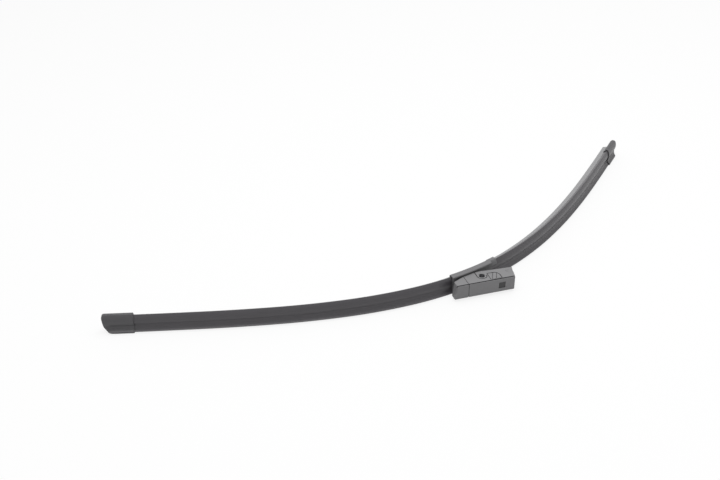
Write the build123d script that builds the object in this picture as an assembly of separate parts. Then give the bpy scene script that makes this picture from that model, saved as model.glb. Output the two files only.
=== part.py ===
from build123d import *
import math
import os

# A flat wiper blade, lying on its lee side as it would on a bench. Millimetres.
# +X runs along the blade at the connector, -Y is the outer side that faces the arm,
# +Y is the lip side, +Z points up from the surface that the blade lies on.

# Bow of the unloaded blade: tangent arcs whose curvature fades towards both ends.
LONG_SIDE = 364.0  # along the blade, from the bow's peak to the long side's end
SHORT_SIDE = 345.0
BOW_PAST = 1.0  # the curvature fades to nothing this far past the longer end
PEAK_RADIUS = 264.2
BOW_FADE = 1.656  # power by which the curvature fades
ARC_STEP = 70.0

# Section, in two directions: across the blade, and outward from the spoiler's windward edge.
RAIL_WIDTH = 4.6
RAIL_THICK = 1.0
RAIL_DEPTH = 1.6  # middle of the rails below the windward edge
FIT = 0.1  # clearance between pieces that slide into each other along the blade
NECK_HALF = 1.5
HEAD_HALF = 2.6
HEAD_THICK = 1.1
SHOULDER_HALF = 3.5
SHOULDER_THICK = 1.3
WEB_HALF = 0.5
WEB_LENGTH = 0.8
WEDGE_HALF = 2.2
WEDGE_EDGE = 0.9
LIP_HALF = 0.4
LIP_DEPTH = 10.8  # lip's edge below the windward edge
SPOILER_HALF = 8.8
CLAW_THICK = 0.9
CLAW_TAPER = 2.1  # how far a claw runs in under the windward edge
CLAW_GRIP = 1.5  # how far a claw reaches under its rail
HUMP_RISE = 2.2
HUMP_ACROSS = 3.0
TURN_RISE = 1.55  # where the hump turns into the fin's hollow ramp
TURN_ACROSS = -1.2
FIN_RISE = 4.5
FIN_EDGE = 0.6

# End caps.
CAP_LENGTH = 30.0
CAP_WALL = 0.9
CAP_GRASP = 12.0  # how far a spoiler runs into its cap
CAP_SEAT = 21.0  # how far the rails run into their cap
CAP_SLANT = 1.4  # the end edge leans back towards the lee side
CAP_SWEEP_ALONG = 15.0  # lee corner, swept round in a quarter ellipse
CAP_SWEEP_ACROSS = 8.6
CAP_WIND_CORNER = 2.5
CAP_OUTER_CORNER = 3.5
CAP_SIDE_DEPTH = 2.0  # squared-off part of the windward side
LIP_SETBACK = 7.0  # the rubber stops this far from the blade's ends

# Connector base, clamped round the rails.
BASE_START = -22.5
DECK_END = 26.0
BASE_END = 34.0
BASE_POCKET = 4.0  # how far a spoiler runs into the base
DECK_RISE = 3.7
TONGUE_EDGE = 4.6  # the tongue over the short spoiler covers the section above this
BASE_BEVEL = 0.7
PIVOT_ALONG = 5.2
PIVOT_RISE = 12.8
TOWER_HALF = 2.1
TOWER_ROUND = 5.2
TOWER_FOOT = 7.0
PIN_RADIUS = 3.3
PIN_BORE = 2.9
PIN_RUN = 0.05  # running clearance in the adapter's bosses
PIN_RECESS = 0.6

# Adapter, drawn square to itself about the pivot and turned by its tilt.
TILT = 16.2
ADAPTER_WIDTH = 15.0
ADAPTER_WALL = 2.0
OUTER_RISE = 11.0
OUTER_TAIL = 31.0
OUTER_NOSE = 30.0
NOSE_SLANT = 2.2
TAIL_REACH = 34.4
TAIL_DROP = 5.6
CHEEK_DROP = 7.2
PIVOT_DROP = 7.8
PIVOT_SPREAD = 4.0
NOSE_TIP_RISE = 3.2
NOSE_KNEE = 18.3
NOSE_KNEE_DROP = 3.9
NOSE_SEAM = 17.0
SEAM_BOW = 0.8
SEAM_GAP = 0.5
NOSE_PLUG = 4.0
EDGE_GROOVE = 1.3
EDGE_LIP = 0.4
EDGE_DEPTH = 1.5
GROOVE_WIDTH = 0.8
GROOVE_DEPTH = 1.0
ADAPTER_ROUND = 0.5
BOSS_RADIUS = 4.6
BOSS_GAP = 0.4
SCOOP_START = 26.0
SCOOP_RADIUS = 4.0
SCOOP_DEPTH = 0.8
SCOOP_DROP = 0.6

# Squeeze tabs in the adapter's cheeks, held out by a hairpin leaf spring.
TAB_START = 6.0
TAB_END = 18.4
TAB_DROP = 2.6
TAB_RISE = 8.8
TAB_SWEEP = 6.5
TAB_GAP = 0.6
TAB_RIM = 0.7
TAB_RIM_THICK = 1.0
TAB_SINK = 0.15
RIB_PITCH = 4.2
RIB_WIDTH = 0.6
RIB_LEAN = 25.0
SPRING_LEAF = 0.3
SPRING_WIDTH = 4.0
SPRING_START = 8.0
SPRING_GAP = 0.3
MARK_SIDE = 7.0
MARK_PLACE = 17.5
MARK_DEPTH = 0.6

REST_HALF = SPOILER_HALF + FIT + CAP_WALL
RAIL_TOP = RAIL_THICK / 2 - RAIL_DEPTH
RAIL_LOW = -RAIL_THICK / 2 - RAIL_DEPTH
RAIL_INNER = NECK_HALF + FIT
RAIL_OUTER = RAIL_INNER + RAIL_WIDTH
HEAD_TOP = RAIL_TOP + FIT + HEAD_THICK
CLAW_FOOT = RAIL_LOW - FIT - CLAW_THICK
THROAT_HALF = RAIL_OUTER - CLAW_GRIP
BOW_REACH = max(LONG_SIDE, SHORT_SIDE) + BOW_PAST


def heading(along):
    """Direction of the blade at a station, in radians from +X."""
    left = 1 - abs(along) / BOW_REACH
    turn = BOW_REACH / PEAK_RADIUS / (BOW_FADE + 1) * (1 - left ** (BOW_FADE + 1))
    return math.copysign(turn, along)


def stations():
    """Stations where one arc of the bow ends and the next begins; the caps' stretches are straight."""
    long_run = LONG_SIDE - CAP_LENGTH
    short_run = SHORT_SIDE - CAP_LENGTH
    long_count = math.ceil(long_run / ARC_STEP)
    short_count = math.ceil(short_run / ARC_STEP)
    places = [-long_run + i * long_run / long_count for i in range(long_count)]
    places += [i * short_run / short_count for i in range(short_count + 1)]
    return places


PLACES = stations()


def chord(start, end):
    """Vector along one arc of the bow, both stations inside the same arc."""
    low = max([p for p in PLACES if p <= (start + end) / 2], default=PLACES[0])
    high = min([p for p in PLACES if p > (start + end) / 2], default=PLACES[-1])
    if high <= low:
        middle = heading(low)
        length = end - start
    else:
        rate = (heading(high) - heading(low)) / (high - low)
        middle = heading(low) + rate * ((start + end) / 2 - low)
        half = rate * (end - start) / 2
        length = (end - start) * (math.sin(half) / half if abs(half) > 1e-9 else 1.0)
    return Vector(length * math.cos(middle), length * math.sin(middle), 0)


def breaks(start, end):
    return [start] + [p for p in PLACES if start + 1e-6 < p < end - 1e-6] + [end]


def place(along):
    """Point of the bow's line at a station, at the height of the blade's middle."""
    spot = Vector(0, 0, REST_HALF)
    marks = breaks(min(0, along), max(0, along))
    for a, b in zip(marks, marks[1:]):
        spot += chord(a, b) * math.copysign(1, along)
    return spot


def bow(start, end):
    """The bow's line between two stations, as tangent arcs."""
    marks = breaks(start, end)
    pieces = []
    for a, b in zip(marks, marks[1:]):
        middle = place(a) + chord(a, (a + b) / 2)
        straight = b <= PLACES[0] + 1e-6 or a >= PLACES[-1] - 1e-6
        pieces.append(Line(place(a), place(b)) if straight else ThreePointArc(place(a), middle, place(b)))
    return Wire(pieces)


def direction(along):
    step = 1e-4
    return (place(along + step) - place(along - step)).normalized()


def across(along):
    """Plane of the section at a station: first coordinate up, second outward."""
    return Plane(place(along), x_dir=(0, 0, 1), z_dir=direction(along))


def run(section, start, end):
    """A section drawn along the bow."""
    path = bow(start, end)
    frame = Plane(place(start), x_dir=(0, 0, 1), z_dir=path % 0)
    return sweep(frame * section, path=path)


def patch(low, high, bottom, top):
    return Pos((low + high) / 2, (bottom + top) / 2) * Rectangle(high - low, top - bottom)


def outline(grow):
    """Outside of the spoiler's section: hump, valley and fin, with a claw at each side."""
    edge = SPOILER_HALF
    fin = -edge + FIN_EDGE
    hump = ThreePointArc((edge, 0), (HUMP_ACROSS, HUMP_RISE), (TURN_ACROSS, TURN_RISE))
    ramp = TangentArc(hump @ 1, (fin, FIN_RISE), tangent=hump % 1)
    rest = Polyline(
        (fin, FIN_RISE),
        (-edge, FIN_RISE - FIN_EDGE),
        (-edge, RAIL_TOP),
        (-edge + CLAW_TAPER / 2, CLAW_FOOT),
        (edge - CLAW_TAPER, CLAW_FOOT),
        (edge, 0),
    )
    face = make_face(hump.edges() + ramp.edges() + rest.edges())
    return offset(face, amount=grow, kind=Kind.ARC) if grow else face


def core(grow):
    """Room for the rails, the rubber's head and the rubber's shoulders."""
    slot = patch(-RAIL_OUTER - grow, RAIL_OUTER + grow, RAIL_LOW - grow, RAIL_TOP + grow)
    head = patch(-HEAD_HALF - grow, HEAD_HALF + grow, RAIL_LOW, HEAD_TOP + grow)
    throat = patch(-THROAT_HALF, THROAT_HALF, 2 * CLAW_FOOT, RAIL_TOP)
    return slot + head + throat


def rubber_section():
    shoulder = RAIL_LOW - FIT - SHOULDER_THICK
    web = shoulder - WEB_LENGTH
    wedge = web - WEDGE_EDGE
    half = [
        (0, HEAD_TOP),
        (HEAD_HALF, HEAD_TOP),
        (HEAD_HALF, RAIL_TOP + FIT),
        (NECK_HALF, RAIL_TOP + FIT),
        (NECK_HALF, RAIL_LOW - FIT),
        (SHOULDER_HALF, RAIL_LOW - FIT),
        (SHOULDER_HALF - 0.4, shoulder),
        (WEB_HALF, shoulder),
        (WEB_HALF, web),
        (WEDGE_HALF, web),
        (WEDGE_HALF, wedge),
        (LIP_HALF, -LIP_DEPTH),
        (0, -LIP_DEPTH),
    ]
    right = make_face(Polyline(*half, close=True).edges())
    return right + mirror(right, about=Plane.YZ)


def cap_section():
    """Grown outline of the spoiler, squared off along the windward side."""
    return outline(FIT + CAP_WALL) + patch(RAIL_OUTER, REST_HALF, -CAP_SIDE_DEPTH, 0)


def cap_plan(side):
    """Cap seen from the arm's side: a small windward corner, a leaning end and a long swept lee corner."""
    end = CAP_LENGTH - CAP_SLANT
    middle = (end - CAP_SWEEP_ALONG, CAP_SWEEP_ACROSS - REST_HALF)
    lee = EllipticalCenterArc(middle, CAP_SWEEP_ALONG, CAP_SWEEP_ACROSS, 270, arc_size=90)
    wind = FilletPolyline(lee @ 1, (CAP_LENGTH, REST_HALF), (0, REST_HALF), radius=CAP_WIND_CORNER)
    rest = Polyline(wind @ 1, (0, -REST_HALF), lee @ 0)
    face = make_face(lee.edges() + wind.edges() + rest.edges())
    return extrude(side * face, amount=2 * LIP_DEPTH, both=True)


def end_cap(along, sign):
    """Sleeve over the blade's end, closed and rounded; sign is -1 at the long side."""
    start = along - sign * CAP_LENGTH
    frame = across(start)
    body = extrude(frame * cap_section(), amount=sign * CAP_LENGTH)
    onward = direction(start) * sign
    # The outer end corner is rounded as seen from the windward side.
    tall = FIN_RISE + FIT + CAP_WALL
    low = 2 * CLAW_FOOT
    corner = FilletPolyline((0, tall), (CAP_LENGTH, tall), (CAP_LENGTH, low), radius=CAP_OUTER_CORNER)
    back = Polyline((CAP_LENGTH, low), (0, low), (0, tall))
    plan = Plane(place(start), x_dir=onward, z_dir=(0, 0, -sign))
    body &= extrude(plan * make_face(corner.edges() + back.edges()), amount=2 * REST_HALF, both=True)
    side = Plane(place(start), x_dir=onward, z_dir=onward.cross(Vector(0, 0, 1)))
    body &= cap_plan(side)
    body -= extrude(frame * outline(FIT), amount=sign * CAP_GRASP)
    seat = patch(-RAIL_OUTER - FIT, RAIL_OUTER + FIT, RAIL_LOW - FIT, HEAD_TOP + FIT)
    body -= extrude(frame * seat, amount=sign * CAP_SEAT)
    throat = patch(-THROAT_HALF, THROAT_HALF, low, HEAD_TOP + FIT)
    return body - extrude(frame * throat, amount=sign * (CAP_LENGTH - LIP_SETBACK + FIT))


def connector_base():
    """Clamp round the rails: a deck with the pivot's tower, and a tongue over the short spoiler's end."""
    block = chamfer(patch(-REST_HALF, REST_HALF, CLAW_FOOT, DECK_RISE).vertices(), BASE_BEVEL)
    body = run(block - core(FIT), BASE_START, DECK_END)
    body -= run(outline(FIT), BASE_START, BASE_START + BASE_POCKET)
    body -= run(outline(FIT), DECK_END - BASE_POCKET, DECK_END)
    wall = patch(SPOILER_HALF + FIT, REST_HALF, CLAW_FOOT, 0)
    skin = outline(FIT + CAP_WALL) & patch(TONGUE_EDGE, REST_HALF, CLAW_FOOT, DECK_RISE)
    body += run(skin + wall - outline(FIT), DECK_END - BASE_POCKET / 2, BASE_END)
    side = make_hull(
        (Pos(PIVOT_ALONG, -PIVOT_RISE) * Circle(TOWER_ROUND)).edges()
        + (Pos(PIVOT_ALONG, -DECK_RISE + BASE_BEVEL) * Rectangle(2 * TOWER_FOOT, BASE_BEVEL)).edges()
    )
    body += Pos(0, 0, REST_HALF) * extrude(side, amount=TOWER_HALF, both=True)
    return body - Pos(PIVOT_ALONG, -PIVOT_RISE, REST_HALF) * Cylinder(PIN_RADIUS, 3 * TOWER_HALF)


# The adapter is drawn with its outer face towards +Y, the pivot at the origin, and put in place last.
HALF = ADAPTER_WIDTH / 2
INNER = HALF - ADAPTER_WALL
HANG = Pos(PIVOT_ALONG, -PIVOT_RISE, REST_HALF) * Rot(0, 0, -TILT) * Rot(180, 0, 0)


def adapter_side(shrink):
    """Side view of the adapter, drawn in by a wall; it stays open at the tail and towards the blade."""
    nose = -OUTER_NOSE - NOSE_SLANT + shrink
    pts = [
        (nose, OUTER_RISE - shrink),
        (OUTER_TAIL, OUTER_RISE - shrink),
        (TAIL_REACH, -TAIL_DROP - shrink),
        (PIVOT_SPREAD * 2, -CHEEK_DROP - shrink),
        (PIVOT_SPREAD, -PIVOT_DROP - shrink),
        (-PIVOT_SPREAD, -PIVOT_DROP - shrink),
        (-NOSE_KNEE, -NOSE_KNEE_DROP - shrink),
        (nose, NOSE_TIP_RISE - shrink),
    ]
    return make_face(Polyline(*pts, close=True).edges())


def adapter_shell():
    outer = extrude(adapter_side(0), amount=HALF, both=True)
    outer = fillet(outer.edges().filter_by(Axis.X).group_by(Axis.Y)[-1], ADAPTER_ROUND)
    # The nose ends on a slant, longer on the lee side.
    windward = [(-OUTER_NOSE, -HALF), (TAIL_REACH, -HALF)]
    lee = [(TAIL_REACH, HALF), (-OUTER_NOSE - NOSE_SLANT, HALF)]
    lean = Polyline(*windward, *lee, close=True)
    outer &= extrude(Plane.XZ * make_face(lean.edges()), amount=2 * OUTER_RISE, both=True)
    outer -= extrude(adapter_side(ADAPTER_WALL), amount=INNER, both=True)
    rim = OUTER_RISE - EDGE_LIP
    groove = patch(-2 * OUTER_NOSE, 2 * TAIL_REACH, rim - EDGE_GROOVE, rim)
    for side in (-1, 1):
        outer -= Pos(0, 0, side * HALF) * extrude(groove, amount=EDGE_DEPTH, both=True)
    return outer


def seam(offset):
    """Everything on the tail's side of the bowed seam behind the nose."""
    line = ThreePointArc(
        (-NOSE_SEAM - SEAM_BOW + offset, -3 * OUTER_RISE),
        (-NOSE_SEAM - SEAM_BOW + offset, 0),
        (-NOSE_SEAM + SEAM_BOW + offset, 3 * OUTER_RISE),
    )
    box = Polyline(line @ 1, (3 * TAIL_REACH, 3 * OUTER_RISE), (3 * TAIL_REACH, -3 * OUTER_RISE), line @ 0)
    return extrude(make_face(line.edges() + box.edges()), amount=2 * ADAPTER_WIDTH, both=True)


def tab_shape(grow):
    """Window of a squeeze tab, with its tail corner swept round."""
    pts = [(TAB_START - grow, TAB_RISE + grow), (TAB_START - grow, -TAB_DROP - grow)]
    sweep_from = (TAB_END - TAB_SWEEP, -TAB_DROP - grow)
    sweep_to = (TAB_END + grow, -TAB_DROP + TAB_SWEEP)
    edges = Polyline(*pts, sweep_from).edges()
    edges += TangentArc(sweep_from, sweep_to, tangent=(1, 0)).edges()
    edges += Polyline(sweep_to, (TAB_END + grow, TAB_RISE + grow), pts[0]).edges()
    return make_face(edges)


def pivot_groove():
    """Moulded line that drops past the boss and turns under it."""
    ring = Circle(BOSS_RADIUS + GROOVE_WIDTH) - Circle(BOSS_RADIUS)
    ring &= patch(-2 * BOSS_RADIUS, 2 * BOSS_RADIUS, 0, 2 * BOSS_RADIUS)
    return ring + patch(-BOSS_RADIUS - GROOVE_WIDTH, -BOSS_RADIUS, -2 * PIVOT_DROP, 0)


def adapter_body():
    body = adapter_shell() & seam(0)
    boss = extrude(Circle(BOSS_RADIUS), amount=HALF, both=True)
    body += boss - extrude(Circle(BOSS_RADIUS), amount=TOWER_HALF + BOSS_GAP, both=True)
    from_end = (Align.CENTER, Align.CENTER, Align.MIN)
    scoop = Rot(0, 90, 0) * Cylinder(SCOOP_RADIUS, TAIL_REACH, align=from_end)
    for side in (-1, 1):
        body -= Pos(0, 0, side * HALF) * extrude(tab_shape(0), amount=2 * ADAPTER_WALL, both=True)
        body -= Pos(0, 0, side * HALF) * extrude(pivot_groove(), amount=GROOVE_DEPTH, both=True)
        body -= Pos(SCOOP_START, -SCOOP_DROP, side * (HALF + SCOOP_RADIUS - SCOOP_DEPTH)) * scoop
    body -= Cylinder(PIN_RADIUS + PIN_RUN, 2 * ADAPTER_WIDTH)
    return body - Pos(MARK_PLACE, OUTER_RISE, 0) * Box(MARK_SIDE, 2 * MARK_DEPTH, MARK_SIDE)


def nose_cover():
    body = adapter_shell() - seam(-SEAM_GAP)
    top = OUTER_RISE - ADAPTER_WALL
    plug = patch(-NOSE_SEAM - NOSE_PLUG, -NOSE_SEAM + NOSE_PLUG, top - NOSE_PLUG, top - FIT)
    root = patch(-NOSE_SEAM - NOSE_PLUG, -NOSE_SEAM - SEAM_BOW - SEAM_GAP, top - NOSE_PLUG, top)
    return body + extrude(plug, amount=INNER - FIT, both=True) + extrude(root, amount=INNER, both=True)


def squeeze_tab(side):
    """Ribbed pad that fills a window, with a rim inside that keeps it from coming out."""
    rim_top = INNER - TAB_GAP
    rim_low = rim_top - TAB_RIM_THICK
    pad = Pos(0, 0, rim_low) * extrude(tab_shape(-TAB_GAP), amount=HALF - TAB_SINK - rim_low)
    room = patch(0, TAIL_REACH, -PIVOT_DROP, OUTER_RISE - ADAPTER_WALL - TAB_GAP)
    rim = Pos(0, 0, rim_low) * extrude(tab_shape(TAB_RIM) & room, amount=TAB_RIM_THICK)
    slit = Pos(0, 0, HALF - TAB_SINK) * Box(RIB_WIDTH, 3 * TAB_RISE, 2 * RIB_WIDTH)
    for step in (-0.5, 0.5):
        spot = Pos((TAB_START + TAB_END) / 2 + step * RIB_PITCH, (TAB_RISE - TAB_DROP) / 2, 0)
        pad -= spot * Rot(0, 0, RIB_LEAN) * slit
    tab = pad + rim
    return tab if side > 0 else mirror(tab, about=Plane.XY)


def tab_spring():
    """Hairpin leaf between the two tabs, bent round at the tail's side."""
    reach = INNER - TAB_GAP - TAB_RIM_THICK - SPRING_GAP
    turn = TAB_END - reach
    path = Polyline((SPRING_START, -reach), (turn, -reach)).edges()
    path += ThreePointArc((turn, -reach), (turn + reach, 0), (turn, reach)).edges()
    path += Polyline((turn, reach), (SPRING_START, reach)).edges()
    inner = reach - SPRING_LEAF
    path += Polyline((SPRING_START, reach), (SPRING_START, inner), (turn, inner)).edges()
    path += ThreePointArc((turn, inner), (turn + inner, 0), (turn, -inner)).edges()
    path += Polyline((turn, -inner), (SPRING_START, -inner), (SPRING_START, -reach)).edges()
    leaf = extrude(Plane.XZ * make_face(path), amount=SPRING_WIDTH / 2, both=True)
    return Pos(0, (TAB_RISE - TAB_DROP) / 2, 0) * leaf


RAIL_START = -LONG_SIDE + CAP_LENGTH - CAP_SEAT + FIT
RAIL_END = SHORT_SIDE - CAP_LENGTH + CAP_SEAT - FIT
SPOILER_START = -LONG_SIDE + CAP_LENGTH - CAP_GRASP + FIT
SPOILER_END = SHORT_SIDE - CAP_LENGTH + CAP_GRASP - FIT
PIN_LENGTH = 2 * (HALF - PIN_RECESS)
PIN = Cylinder(PIN_RADIUS, PIN_LENGTH) - Cylinder(PIN_BORE, PIN_LENGTH)

nodes = {
    "wiping_rubber": run(rubber_section(), -LONG_SIDE + LIP_SETBACK, SHORT_SIDE - LIP_SETBACK),
    "rail_windward": run(patch(RAIL_INNER, RAIL_OUTER, RAIL_LOW, RAIL_TOP), RAIL_START, RAIL_END),
    "rail_lee": run(patch(-RAIL_OUTER, -RAIL_INNER, RAIL_LOW, RAIL_TOP), RAIL_START, RAIL_END),
    "spoiler_long": run(outline(0) - core(FIT), SPOILER_START, BASE_START + BASE_POCKET - FIT),
    "spoiler_short": run(outline(0) - core(FIT), DECK_END - BASE_POCKET + FIT, SPOILER_END),
    "end_cap_long": end_cap(-LONG_SIDE, -1),
    "end_cap_short": end_cap(SHORT_SIDE, 1),
    "connector_base": connector_base(),
    "pivot_pin": Pos(PIVOT_ALONG, -PIVOT_RISE, REST_HALF) * PIN,
    "adapter_body": HANG * adapter_body(),
    "nose_cover": HANG * nose_cover(),
    "tab_windward": HANG * squeeze_tab(-1),
    "tab_lee": HANG * squeeze_tab(1),
    "tab_spring": HANG * tab_spring(),
}

os.makedirs("parts", exist_ok=True)
for name, solid in nodes.items():
    export_step(solid, "parts/" + name + ".step")
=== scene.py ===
import bmesh
import bpy
import math
from mathutils import Matrix, Vector


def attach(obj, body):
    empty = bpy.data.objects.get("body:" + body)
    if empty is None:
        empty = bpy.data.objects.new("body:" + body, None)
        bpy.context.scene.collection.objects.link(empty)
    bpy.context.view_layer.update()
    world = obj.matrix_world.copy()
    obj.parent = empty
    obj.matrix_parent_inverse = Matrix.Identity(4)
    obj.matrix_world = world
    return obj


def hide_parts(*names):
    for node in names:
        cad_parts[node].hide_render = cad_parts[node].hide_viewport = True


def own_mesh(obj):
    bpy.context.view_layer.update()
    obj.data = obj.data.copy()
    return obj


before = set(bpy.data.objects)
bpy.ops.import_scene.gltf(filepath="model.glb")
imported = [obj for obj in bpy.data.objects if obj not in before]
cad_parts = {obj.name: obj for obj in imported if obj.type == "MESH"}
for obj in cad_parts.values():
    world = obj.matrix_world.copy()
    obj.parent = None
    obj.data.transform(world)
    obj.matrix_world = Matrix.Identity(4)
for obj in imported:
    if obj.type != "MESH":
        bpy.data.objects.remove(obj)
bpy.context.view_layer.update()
scene = bpy.context.scene
scene.view_settings.view_transform = "Standard"

# The camera stands where the photograph was taken from: in front of the convex side,
# swung round towards the long end, a third of the way up, with a normal lens.
# The blade lies on its lee side, with its middle plane at middle_height over the floor.
middle_height = 0.0098
eye = Vector((-0.5911, -0.6920, 0.6247 + middle_height))
aim = Vector((-0.0525, 0.1180, middle_height))
lens = bpy.data.cameras.new("photo_camera")
lens.sensor_width = 36.0
lens.lens = 55.0
lens.clip_start = 0.02
camera = bpy.data.objects.new("photo_camera", lens)
looking = (aim - eye).to_track_quat("-Z", "Y").to_matrix().to_4x4()
camera.matrix_world = Matrix.Translation(eye) @ looking
scene.collection.objects.link(camera)
scene.camera = camera


# The studio: a white floor that keeps a faint shadow, a white surround that is darker on
# the camera's side, and one wide soft lamp overhead.
class Flow:
    """A value in a node tree; arithmetic on it adds Math nodes."""

    def __init__(self, tree, socket):
        self.tree = tree
        self.socket = socket

    def output(self, name):
        """Another output of the node that gives this value."""
        return Flow(self.tree, self.socket.node.outputs[name])

    def math(self, operation, *others):
        return Nodes(self.tree).add("ShaderNodeMath", {"operation": operation}, [self, *others])

    def __add__(self, other):
        return self.math("ADD", other)

    def __sub__(self, other):
        return self.math("SUBTRACT", other)

    def __rsub__(self, other):
        return Nodes(self.tree).add("ShaderNodeMath", {"operation": "SUBTRACT"}, [other, self])

    def __mul__(self, other):
        return self.math("MULTIPLY", other)

    def __truediv__(self, other):
        return self.math("DIVIDE", other)

    def __pow__(self, other):
        return self.math("POWER", other)

    def __gt__(self, other):
        return self.math("GREATER_THAN", other)

    def __lt__(self, other):
        return self.math("LESS_THAN", other)

    __radd__ = __add__
    __rmul__ = __mul__


class Nodes:
    """Adds nodes to a tree: settings first, then values or links for the sockets."""

    def __init__(self, tree):
        self.tree = tree

    @classmethod
    def material(cls, name):
        made = bpy.data.materials.new(name)
        made.use_nodes = True
        made.node_tree.nodes.clear()
        return made, cls(made.node_tree)

    def add(self, kind, settings=None, values=()):
        node = self.tree.nodes.new(kind)
        for name, value in (settings or {}).items():
            setattr(node, name, value)
        pairs = values.items() if isinstance(values, dict) else enumerate(values)
        for socket, value in pairs:
            if isinstance(value, Flow):
                self.tree.links.new(value.socket, node.inputs[socket])
            else:
                node.inputs[socket].default_value = value
        return Flow(self.tree, node.outputs[0]) if len(node.outputs) else None

    def place(self):
        return self.add("ShaderNodeTexCoord").output("Object")

    def noise(self, place, scale, detail, roughness=0.5):
        values = {"Vector": place, "Scale": scale, "Detail": detail, "Roughness": roughness}
        return self.add("ShaderNodeTexNoise", values=values)

    def dot(self, first, second):
        settings = {"operation": "DOT_PRODUCT"}
        return self.add("ShaderNodeVectorMath", settings, [first, second]).output("Value")

    def blend(self, share, first, second):
        """Two colours mixed; a Mix node has its colours at sockets 6 and 7 and gives output 2."""
        first, second = (c if isinstance(c, Flow) else (*c, 1) for c in (first, second))
        values = {0: share, 6: first, 7: second}
        return self.add("ShaderNodeMix", {"data_type": "RGBA"}, values).output(2)

    def bump(self, height, strength, distance, normal=None):
        values = {"Strength": strength, "Distance": distance, "Height": height}
        if normal:
            values["Normal"] = normal
        return self.add("ShaderNodeBump", values=values)

    def skin(self, tint, roughness, relief, metallic=0.0):
        values = {"Base Color": tint, "Metallic": metallic, "Roughness": roughness, "Normal": relief}
        shader = self.add("ShaderNodeBsdfPrincipled", values=values)
        self.add("ShaderNodeOutputMaterial", values={"Surface": shader})

    def shown(self):
        """1 for the camera's own rays, and for those that mirror or pass through a piece."""
        ray = self.add("ShaderNodeLightPath")
        mirrored = ray.output("Is Camera Ray").math("MAXIMUM", ray.output("Is Glossy Ray"))
        return mirrored.math("MAXIMUM", ray.output("Is Transmission Ray"))


def studio_floor():
    reach = 6.0
    own_light = 0.82
    mesh = bpy.data.meshes.new("studio_floor")
    corners = [(-reach, -reach, 0), (reach, -reach, 0), (reach, reach, 0), (-reach, reach, 0)]
    mesh.from_pydata(corners, [], [(0, 1, 2, 3)])
    floor = bpy.data.objects.new("studio_floor", mesh)
    scene.collection.objects.link(floor)
    paper, nodes = Nodes.material("white_paper")
    lit = nodes.add("ShaderNodeBsdfDiffuse", values={"Color": (0.86, 0.86, 0.86, 1)})
    glow = nodes.add("ShaderNodeEmission", values={"Color": (1, 1, 1, 1), "Strength": 1.0})
    both = nodes.add("ShaderNodeMixShader", values=[nodes.shown() * own_light, lit, glow])
    nodes.add("ShaderNodeOutputMaterial", values={"Surface": both})
    mesh.materials.append(paper)


def studio_surround():
    dim, bright = 0.12, 0.9
    world = bpy.data.worlds.new("studio_surround")
    world.use_nodes = True
    world.node_tree.nodes.clear()
    nodes = Nodes(world.node_tree)
    way = nodes.add("ShaderNodeTexCoord").output("Generated")
    axes = nodes.add("ShaderNodeSeparateXYZ", values=[way])
    values = {"Value": axes.output("Z") * 0.6 + axes.output("Y") * 0.5}
    values |= {"From Min": -0.4, "From Max": 0.9, "To Min": dim, "To Max": bright}
    tone = nodes.add("ShaderNodeMapRange", {"clamp": True}, values)
    shown = nodes.shown()
    strength = tone * (1 - shown) + shown
    light = nodes.add("ShaderNodeBackground", values={"Color": (1, 1, 1, 1), "Strength": strength})
    nodes.add("ShaderNodeOutputWorld", values={"Surface": light})
    scene.world = world


def soft_lamp(name, place, target, size, power):
    lamp = bpy.data.lights.new(name, "AREA")
    lamp.shape = "RECTANGLE"
    lamp.size, lamp.size_y = size
    lamp.energy = power
    thing = bpy.data.objects.new(name, lamp)
    turn = (Vector(target) - Vector(place)).to_track_quat("-Z", "Y").to_matrix().to_4x4()
    thing.matrix_world = Matrix.Translation(place) @ turn
    scene.collection.objects.link(thing)


studio_floor()
studio_surround()
soft_lamp("top_softbox", place=(0.1, 0.05, 1.5), target=(0.1, 0.05, 0), size=(1.6, 1.0), power=16)


# The two rails: flat strips of spring steel, rolled to the bow, hardened and coated black.
# They lie in the rubber's grooves and carry the load; the spoilers and caps clasp them.
def coated_steel():
    made, nodes = Nodes.material("black_coated_spring_steel")
    long_grain = {"Vector": nodes.place(), "Scale": (60, 60, 3000)}
    drawn = nodes.noise(nodes.add("ShaderNodeMapping", values=long_grain), 1.0, 4.0)
    tint = nodes.blend(drawn, (0.012, 0.012, 0.013), (0.03, 0.03, 0.032))
    relief = nodes.bump(drawn, 0.2, 0.00004)
    nodes.skin(tint, drawn * 0.2 + 0.32, relief)
    return made


def dress(node, finish):
    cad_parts[node].data.materials.clear()
    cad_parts[node].data.materials.append(finish)


rail_finish = coated_steel()
dress("rail_windward", rail_finish)
dress("rail_lee", rail_finish)


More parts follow.
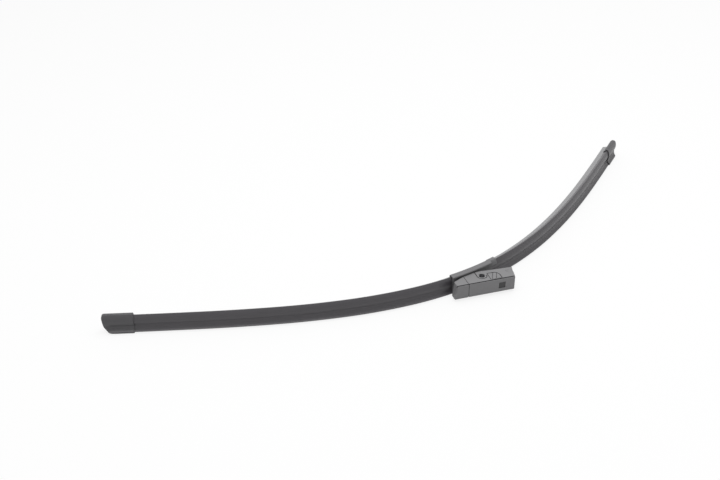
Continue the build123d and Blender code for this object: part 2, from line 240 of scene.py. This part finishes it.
# The wiping rubber: one extrusion of soft rubber, rubbed with graphite, with a head between
# the rails, shoulders, a thin tilting web and a wedge lip; it follows the bow of the rails.
def bow_tree():
    """A closed section drawn along the bow, whose curvature fades towards both ends."""
    sizes = {"Reach": 0.365, "Peak Radius": 0.2642, "Fade": 1.656}
    sizes |= {"Long Run": 0.334, "Short Run": 0.315, "Arcs": 5.0}
    sizes |= {"Step": 0.001, "Start": 0.0, "End": 0.0, "Height": middle_height}
    sharp_edge = 0.6
    tree = bpy.data.node_groups.new("bow_sweep", "GeometryNodeTree")
    face = tree.interface
    face.new_socket("Geometry", in_out="INPUT", socket_type="NodeSocketGeometry")
    for name, value in sizes.items():
        face.new_socket(name, in_out="INPUT", socket_type="NodeSocketFloat").default_value = value
    face.new_socket("Count", in_out="INPUT", socket_type="NodeSocketInt").default_value = 713
    face.new_socket("Section", in_out="INPUT", socket_type="NodeSocketObject")
    face.new_socket("Material", in_out="INPUT", socket_type="NodeSocketMaterial")
    face.new_socket("Geometry", in_out="OUTPUT", socket_type="NodeSocketGeometry")
    make = Nodes(tree)
    given = {s.name: Flow(tree, s) for s in tree.nodes.new("NodeGroupInput").outputs}
    along = make.add("GeometryNodeInputIndex") * given["Step"] - given["Reach"]
    middle = along - given["Step"] * 0.5
    power = given["Fade"] + 1

    def heading(distance):
        left = 1 - distance / given["Reach"]
        return given["Reach"] / given["Peak Radius"] / power * (1 - left ** power)

    def stored(geometry, name, value):
        settings = {"data_type": "FLOAT", "domain": "POINT"}
        values = {"Geometry": geometry, "Name": name, "Value": value}
        return make.add("GeometryNodeStoreNamedAttribute", settings, values)

    # The bow is tangent arcs of one length on each side, and straight under the caps.
    side = middle > 0.0
    straight = given["Short Run"] * side + given["Long Run"] * (1 - side)
    arc = straight / given["Arcs"]
    distance = middle.math("ABSOLUTE").math("MINIMUM", straight - given["Step"] * 0.01)
    low = (distance / arc).math("FLOOR") * arc
    share = (distance - low) / arc
    turn = (heading(low) * (1 - share) + heading(low + arc) * share) * middle.math("SIGN")

    # Steps along the bow are summed, and the sum at the peak is taken off to centre it.
    step = [turn.math("COSINE") * given["Step"], turn.math("SINE") * given["Step"], 0.0]
    step = make.add("ShaderNodeCombineXYZ", values=step)
    run = make.add("GeometryNodeAccumulateField", {"data_type": "FLOAT_VECTOR"}, [step])
    peak = (given["Reach"] / given["Step"]).math("ROUND")
    start = make.add("GeometryNodeFieldAtIndex", {"data_type": "FLOAT_VECTOR"}, [run, peak])
    spot = make.add("ShaderNodeVectorMath", {"operation": "SUBTRACT"}, [run, start])
    lift = make.add("ShaderNodeCombineXYZ", values={"Z": given["Height"]})
    spot = make.add("ShaderNodeVectorMath", {"operation": "ADD"}, [spot, lift])
    line = make.add("GeometryNodeMeshLine", {"mode": "OFFSET"}, {"Count": given["Count"]})
    line = stored(line, "along", along)
    line = make.add("GeometryNodeSetPosition", values={"Geometry": line, "Position": spot})

    # What lies outside the piece's own start and end is left out.
    slack = given["Step"] * 0.4
    before = given["Start"] - slack > along
    beyond = along > given["End"] + slack
    outside = {"Geometry": line, "Selection": before + beyond}
    line = make.add("GeometryNodeDeleteGeometry", {"domain": "POINT"}, outside)
    curve = make.add("GeometryNodeMeshToCurve", values=[line])
    curve = make.add("GeometryNodeSetCurveNormal", {"mode": "Z_UP"}, [curve])
    section = make.add("GeometryNodeObjectInfo", values=[given["Section"]]).output("Geometry")
    section = stored(section, "around", make.add("GeometryNodeSplineParameter").output("Length"))
    drawn = {"Curve": curve, "Profile Curve": section, "Fill Caps": True}
    mesh = make.add("GeometryNodeCurveToMesh", values=drawn)
    sharp = make.add("GeometryNodeInputMeshEdgeAngle") > sharp_edge
    mesh = make.add("GeometryNodeSetShadeSmooth", {"domain": "EDGE"}, [mesh, sharp, False])
    mesh = make.add("GeometryNodeRealizeInstances", values=[mesh])
    finish = {"Geometry": mesh, "Material": given["Material"]}
    mesh = make.add("GeometryNodeSetMaterial", values=finish)
    make.add("NodeGroupOutput", values=[mesh])
    return tree


bow_sweep = bow_tree()


def rounded(corners):
    """Points of a closed section in metres; each corner is (up, outward, radius), in millimetres."""
    steps = 4
    most = 0.45
    points = []
    for i, (up, out, radius) in enumerate(corners):
        here = Vector((up, out))
        to_last = Vector(corners[i - 1][:2]) - here
        to_next = Vector(corners[(i + 1) % len(corners)][:2]) - here
        if radius <= 0:
            points.append(here)
            continue
        half = to_last.angle(to_next) / 2
        back = min(radius / math.tan(half), most * to_last.length, most * to_next.length)
        first = here + to_last.normalized() * back
        last = here + to_next.normalized() * back
        for k in range(steps + 1):
            t = k / steps
            points.append(first * (1 - t) ** 2 + here * 2 * t * (1 - t) + last * t ** 2)
    return [(p.x / 1000, p.y / 1000) for p in points]


def swept(name, section, start, end, finish):
    """A piece made by drawing a closed section, given as (up, outward) points, along the bow."""
    curve = bpy.data.curves.new(name + "_section", "CURVE")
    curve.dimensions = "3D"
    spline = curve.splines.new("POLY")
    spline.points.add(len(section) - 1)
    for point, (up, out) in zip(spline.points, section):
        point.co = (out, -up, 0, 1)
    spline.use_cyclic_u = True
    drawn = bpy.data.objects.new(name + "_section", curve)
    carrier = bpy.data.objects.new(name + "_carrier", bpy.data.meshes.new(name + "_carrier"))
    scene.collection.objects.link(carrier)
    modifier = carrier.modifiers.new("bow", "NODES")
    modifier.node_group = bow_sweep
    sockets = bow_sweep.interface.items_tree
    keys = {s.name: s.identifier for s in sockets if s.in_out == "INPUT"}
    modifier[keys["Start"]] = start
    modifier[keys["End"]] = end
    modifier[keys["Section"]] = drawn
    modifier[keys["Material"]] = finish
    live = carrier.evaluated_get(bpy.context.evaluated_depsgraph_get())
    mesh = bpy.data.meshes.new_from_object(live)
    carrier.modifiers.remove(modifier)
    bpy.data.objects.remove(carrier)
    bpy.data.objects.remove(drawn)
    mesh.name = name
    piece = bpy.data.objects.new(name, mesh)
    scene.collection.objects.link(piece)
    return piece


def extruded_rubber(name, dark, light, roughness, streaks):
    """Rubber drawn through a die: fine streaks along the blade, faint clouding, a soft skin."""
    lengthwise, crosswise = 9, 9000
    made, nodes = Nodes.material(name)
    along = nodes.add("ShaderNodeAttribute", {"attribute_name": "along"}).output("Fac")
    around = nodes.add("ShaderNodeAttribute", {"attribute_name": "around"}).output("Fac")
    strip = [along * lengthwise, around * crosswise, 0.0]
    drawn = nodes.noise(nodes.add("ShaderNodeCombineXYZ", values=strip), 1.0, 3.0, 0.6)
    place = nodes.place()
    cloud = nodes.noise(place, 45.0, 4.0, 0.6)
    pores = nodes.noise(place, 2600.0, 2.0)
    tint = nodes.blend(drawn * 0.45 + cloud * 0.55, dark, light)
    relief = nodes.bump(drawn * 0.6 + pores * 0.4, streaks, 0.00005)
    nodes.skin(tint, cloud * 0.12 + drawn * 0.1 + roughness - 0.11, relief)
    return made


def lip_section():
    """One half from the head to the wiping edge, as (up, outward, radius), and its mirror image."""
    head = [(2.6, 0.1, 0.3), (2.6, -1.0, 0.1)]
    slot = [(1.5, -1.0, 0.1), (1.5, -2.2, 0.1)]
    shoulder = [(3.5, -2.2, 0.25), (3.1, -3.5, 0.3)]
    web = [(0.5, -3.5, 0.3), (0.5, -4.3, 0.3)]
    wedge = [(2.2, -4.3, 0.3), (2.2, -5.2, 0.4), (0.4, -10.8, 0.08)]
    half = head + slot + shoulder + web + wedge
    return rounded(half + [(-up, out, radius) for up, out, radius in reversed(half)])


graphite_rubber = extruded_rubber(
    "graphite_rubber", dark=(0.22, 0.22, 0.224), light=(0.31, 0.31, 0.315), roughness=0.5, streaks=0.25)
lip = swept("rubber_strip", lip_section(), -0.357, 0.338, graphite_rubber)
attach(lip, "blade")
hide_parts("wiping_rubber")


# The two spoilers: soft black elastomer, extruded with a hump, a hollow ramp and a fin, and
# with claws that snap over the rails; one from each end cap to the connector base.
def arc_points(first, middle, last, count):
    """Corners without a radius on the arc through three points, each (up, outward)."""
    a, b, c = (complex(*p) for p in (first, middle, last))
    w = (c - a) / (b - a)
    centre = (b - a) * (w - abs(w) ** 2) / (2j * w.imag) + a
    start = math.atan2((a - centre).imag, (a - centre).real)
    swing = (c - centre) / (a - centre)
    sweep = math.atan2(swing.imag, swing.real)
    radius = abs(a - centre)
    turns = [start + sweep * k / count for k in range(count + 1)]
    return [(centre.real + radius * math.cos(t), centre.imag + radius * math.sin(t), 0) for t in turns]


def spoiler_section():
    hump = arc_points((8.8, 0), (3.0, 2.2), (-1.2, 1.55), 16)
    # The ramp leaves the hump tangent to it and rises to the fin.
    before, turn = Vector(hump[-2][:2]), Vector(hump[-1][:2])
    fin = Vector((-8.2, 4.5))
    gap = fin - turn
    half_turn = (turn - before).normalized().angle_signed(gap) / 2
    aside = Vector((-gap.y, gap.x)).normalized()
    bulge = turn + gap / 2 + aside * (gap.length / 2) * math.tan(half_turn)
    ramp = arc_points(tuple(turn), tuple(bulge), tuple(fin), 14)
    windward_claw = [(4.7, -3.1, 0.2), (6.7, -3.1, 0.3), (8.8, 0, 0.25)]
    fin_edge = [(-8.2, 4.5, 0.25), (-8.8, 3.9, 0.3)]
    lee_claw = [(-8.8, -1.1, 0.3), (-7.75, -3.1, 0.3), (-4.7, -3.1, 0.2)]
    outer = windward_claw + hump[2:] + ramp[1:-2] + fin_edge + lee_claw
    # Room for the rails, and between them for the rubber's head.
    room = [(-4.7, -2.2, 0), (-6.3, -2.2, 0), (-6.3, -1.0, 0), (-2.7, -1.0, 0), (-2.7, 0.2, 0)]
    return rounded(outer + room + [(-up, out, 0) for up, out, _ in reversed(room)])


spoiler_rubber = extruded_rubber(
    "spoiler_elastomer", dark=(0.048, 0.045, 0.050), light=(0.074, 0.070, 0.077),
    roughness=0.36, streaks=0.15)
spoilers = [("spoiler_skin_long", "spoiler_long", -0.345, -0.019)]
spoilers += [("spoiler_skin_short", "spoiler_short", 0.023, 0.326)]
for name, node, start, end in spoilers:
    strip = swept(name, spoiler_section(), start, end, spoiler_rubber)
    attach(strip, "blade")
    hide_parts(node)


# The end caps: black plastic mouldings pushed over the blade's ends and snapped onto the
# rails, with a fine spark-eroded grain on the outside and softened edges.
def grained_plastic(name, dark, light, roughness, edge, gap=None):
    """Moulded plastic with a fine eroded grain, paler on its edges, and with painted shade in its
    crevices and gaps.
    """
    wear, most_wear, paler = 2.5, 0.5, 1.9
    shade_reach, shade_colour = 0.0025, (0.004, 0.004, 0.004)
    made, nodes = Nodes.material(name)
    place = nodes.place()
    cloud = nodes.noise(place, 70.0, 5.0, 0.62)
    grain = nodes.noise(place, 1500.0, 3.0, 0.7)
    pits = nodes.add("ShaderNodeTexVoronoi", values={"Vector": place, "Scale": 1900.0})
    tint = nodes.blend(cloud * 0.6 + grain * 0.4, dark, light)
    soft = nodes.add("ShaderNodeBevel", {"samples": 6}, {"Radius": edge})
    facing = nodes.dot(soft, nodes.add("ShaderNodeNewGeometry").output("Normal"))
    worn = ((1 - facing) * wear * cloud).math("MINIMUM", most_wear)
    tint = nodes.blend(worn, tint, tuple(min(1.0, value * paler) for value in light))
    # Painted shade: the colour goes towards near-black where ambient occlusion finds surfaces close by,
    # in crevices, grooves and between parts.
    near = nodes.add("ShaderNodeAmbientOcclusion", {"samples": 8}, {"Distance": shade_reach})
    painted_crevice_shade = (1 - near.output("AO")) ** 0.8 * 0.98
    # Where given, painted shade in chosen grooves and recesses is added to it.
    if gap:
        painted_crevice_shade = painted_crevice_shade.math("MAXIMUM", gap(nodes, place))
    tint = nodes.blend(painted_crevice_shade, tint, shade_colour)
    relief = nodes.bump(grain * 0.6 + pits * 0.4, 0.3, 0.00006, soft)
    nodes.skin(tint, cloud * 0.14 + grain * 0.1 + roughness - 0.12, relief)
    return made


cap_plastic = grained_plastic(
    "cap_plastic", dark=(0.055, 0.053, 0.057), light=(0.08, 0.078, 0.083), roughness=0.38, edge=0.0006)
dress("end_cap_long", cap_plastic)
dress("end_cap_short", cap_plastic)

# The connector base: a black glass-filled moulding, clamped round both rails, with the tower
# that carries the pivot.
base_plastic = grained_plastic(
    "base_plastic", dark=(0.125, 0.123, 0.128), light=(0.165, 0.163, 0.168), roughness=0.5, edge=0.0004)
dress("connector_base", base_plastic)


# The pivot pin: a hollow rivet of bright drawn steel, through the tower, on which the
# adapter tilts.
def bright_steel():
    made, nodes = Nodes.material("bright_steel")
    drawn = {"Vector": nodes.place(), "Scale": (400, 400, 4000)}
    scratch = nodes.noise(nodes.add("ShaderNodeMapping", values=drawn), 1.0, 3.0)
    tint = nodes.blend(scratch, (0.36, 0.36, 0.37), (0.52, 0.52, 0.53))
    relief = nodes.bump(scratch, 0.15, 0.00003)
    nodes.skin(tint, scratch * 0.2 + 0.25, relief, metallic=1.0)
    return made


steel = bright_steel()
dress("pivot_pin", steel)

# The adapter: a dark grey moulded shell that tilts on the pin, with a nose cover clipped on
# behind a bowed seam, and a plain square recess in its outer face.
# Its places are measured from the pin, towards its tail and outwards.
pin = Vector((0.0052, -0.0128, middle_height))
tail = Vector((0.9603, -0.2790, 0))
outward = Vector((-0.2790, -0.9603, 0))


def painted_gap_shade(nodes, place):
    """Painted shade: 1 inside the groove along both cheeks beside the outer face, and 0.8 on the
    recess's floor.
    """
    def within(value, low, high):
        return (value > low) * (value < high)

    from_pin = nodes.add("ShaderNodeVectorMath", {"operation": "SUBTRACT"}, [place, tuple(pin)])
    out = nodes.dot(from_pin, tuple(outward))
    along = nodes.dot(from_pin, tuple(tail))
    aside = nodes.add("ShaderNodeSeparateXYZ", values=[from_pin]).output("Z").math("ABSOLUTE")
    groove = within(out, 0.00927, 0.01062) * within(aside, 0.0058, 0.00742)
    recess = within(out, 0.0100, 0.01062) * within(along, 0.0139, 0.0211) * (aside < 0.0036)
    return groove + recess * 0.8


# The adapter's plastic gets painted shade in its cheek grooves and on its recess floor.
adapter_plastic = grained_plastic(
    "adapter_plastic", dark=(0.165, 0.163, 0.168), light=(0.215, 0.213, 0.218),
    roughness=0.48, edge=0.0004, gap=painted_gap_shade)
dress("adapter_body", adapter_plastic)
dress("nose_cover", adapter_plastic)

# The squeeze tabs: ribbed pads of the same grey plastic, moulded separately and held in the
# windows of the adapter's cheeks by their rims.
dress("tab_windward", adapter_plastic)
dress("tab_lee", adapter_plastic)


# The tabs' spring: a hairpin leaf of steel strip, bent round at the tail's side, that pushes
# both tabs out. Each leg is a piece of its own here, carried by the adapter.
def spring_leg(name, side):
    reach, leaf, half_width = 0.0036, 0.0003, 0.0020
    start, turn, rise = 0.0080, 0.0148, 0.0031
    bend_step = 6
    bends = [math.radians(angle) for angle in range(0, 91, bend_step)]
    line = [(start, 0.0)] + [(turn, angle) for angle in bends]
    shell = bmesh.new()
    rings = []
    for along, angle in line:
        ring = []
        for radius, across in ((reach, -1), (reach, 1), (reach - leaf, 1), (reach - leaf, -1)):
            height = Vector((0, 0, side * radius * math.cos(angle)))
            place = tail * (along + radius * math.sin(angle)) + outward * (rise + across * half_width)
            ring.append(shell.verts.new(pin + place + height))
        rings.append(ring)
    for first, second in zip(rings, rings[1:]):
        for k in range(4):
            shell.faces.new((first[k], first[k - 1], second[k - 1], second[k]))
    shell.faces.new(rings[0])
    shell.faces.new(rings[-1][::-1])
    bmesh.ops.recalc_face_normals(shell, faces=shell.faces)
    mesh = bpy.data.meshes.new(name)
    shell.to_mesh(mesh)
    shell.free()
    mesh.materials.append(steel)
    leg = bpy.data.objects.new(name, mesh)
    scene.collection.objects.link(leg)
    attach(leg, "adapter")
    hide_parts("tab_spring")
    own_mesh(leg)


spring_leg("spring_leg_windward", 1)
spring_leg("spring_leg_lee", -1)
